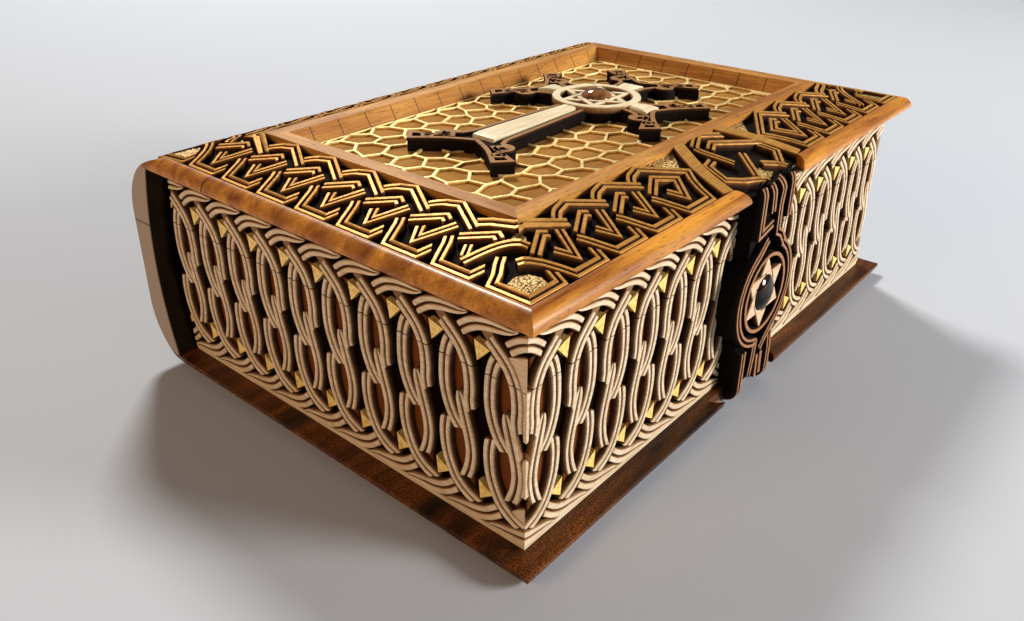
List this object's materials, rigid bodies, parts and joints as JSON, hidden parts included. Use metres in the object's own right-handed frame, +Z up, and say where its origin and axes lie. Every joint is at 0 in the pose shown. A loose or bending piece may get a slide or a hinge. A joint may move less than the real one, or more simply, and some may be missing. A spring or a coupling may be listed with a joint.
{
  "type": "book-shaped rosary box",
  "caption": "Wooden rosary box in the shape of a closed book lying flat, with carved page sides, a knotwork lid border, a raised cross in a sunk panel and a strap with a round medallion.",
  "frame": {"origin": "middle of the footprint, on the surface that the box lies on", "axes": "+X along the fore-edge and the spine, left to right seen from the fore-edge; +Y from the fore-edge to the spine; +Z up through the lid"},
  "size_m": [0.233, 0.1743, 0.0847],
  "materials": {
    "cover_wood": "stained and varnished, satin",
    "page_wood": "pale wood, waxed",
    "page_ground": "dark brown stain",
    "carved_border": "carved, dark stain in the grounds, gilt rubbed on the ridges",
    "frame_wood": "stained and varnished, glossy",
    "panel_ground": "dark stain",
    "cross_wood": "carved, varnished",
    "pale_inlay": "pale inlay, polished",
    "amber_stone": "polished amber cabochon",
    "dark_stone": "polished dark cabochon",
    "hinge_brass": "plain brass",
    "lining_felt": "dark red felt",
    "inner_wood": "plain, sealed"
  },
  "bodies": {
    "base": {"bottom_cover": "cover_wood", "base_front_board": "page_ground", "base_back_board": "inner_wood", "base_spine": "cover_wood", "base_left_board": "page_ground", "base_right_board": "page_ground", "base_chain_front": "page_wood", "base_chain_left": "page_wood", "base_chain_right": "page_wood", "floor_lining": "lining_felt", "strap_lower": "carved_border", "medallion_star": "pale_inlay", "medallion_cabochon": "dark_stone", "hinge_left_base_leaf": "hinge_brass", "hinge_right_base_leaf": "hinge_brass", "hinge_left_pin": "hinge_brass", "hinge_right_pin": "hinge_brass"},
    "lid": {"top_cover": "cover_wood", "lid_front_board": "page_ground", "lid_back_board": "inner_wood", "lid_spine": "cover_wood", "lid_left_board": "page_ground", "lid_right_board": "page_ground", "lid_chain_front": "page_wood", "lid_chain_left": "page_wood", "lid_chain_right": "page_wood", "knot_border_left": "carved_border", "knot_border_right": "carved_border", "knot_border_back": "carved_border", "knot_border_front_left": "carved_border", "knot_border_front_right": "carved_border", "frame_rail_front": "frame_wood", "frame_rail_right": "frame_wood", "frame_rail_back": "frame_wood", "frame_rail_left": "frame_wood", "sunk_panel": "panel_ground", "cross": "cross_wood", "cross_inlay_shaft": "pale_inlay", "cross_inlay_head": "pale_inlay", "cross_inlay_arm_front": "pale_inlay", "cross_inlay_arm_back": "pale_inlay", "halo_star": "pale_inlay", "halo_dome": "amber_stone", "strap_upper": "carved_border", "strap_on_cover": "carved_border", "lid_plate": "inner_wood", "lid_lining": "lining_felt", "hinge_left_lid_leaf": "hinge_brass", "hinge_right_lid_leaf": "hinge_brass"}
  },
  "joints": [
    {"name": "lid_hinge", "type": "hinge", "parent": "base", "child": "lid", "pos_m": [0, 0.0851, 0.052], "axis": [-1, 0, 0], "range_deg": [0, 105]}
  ]
}
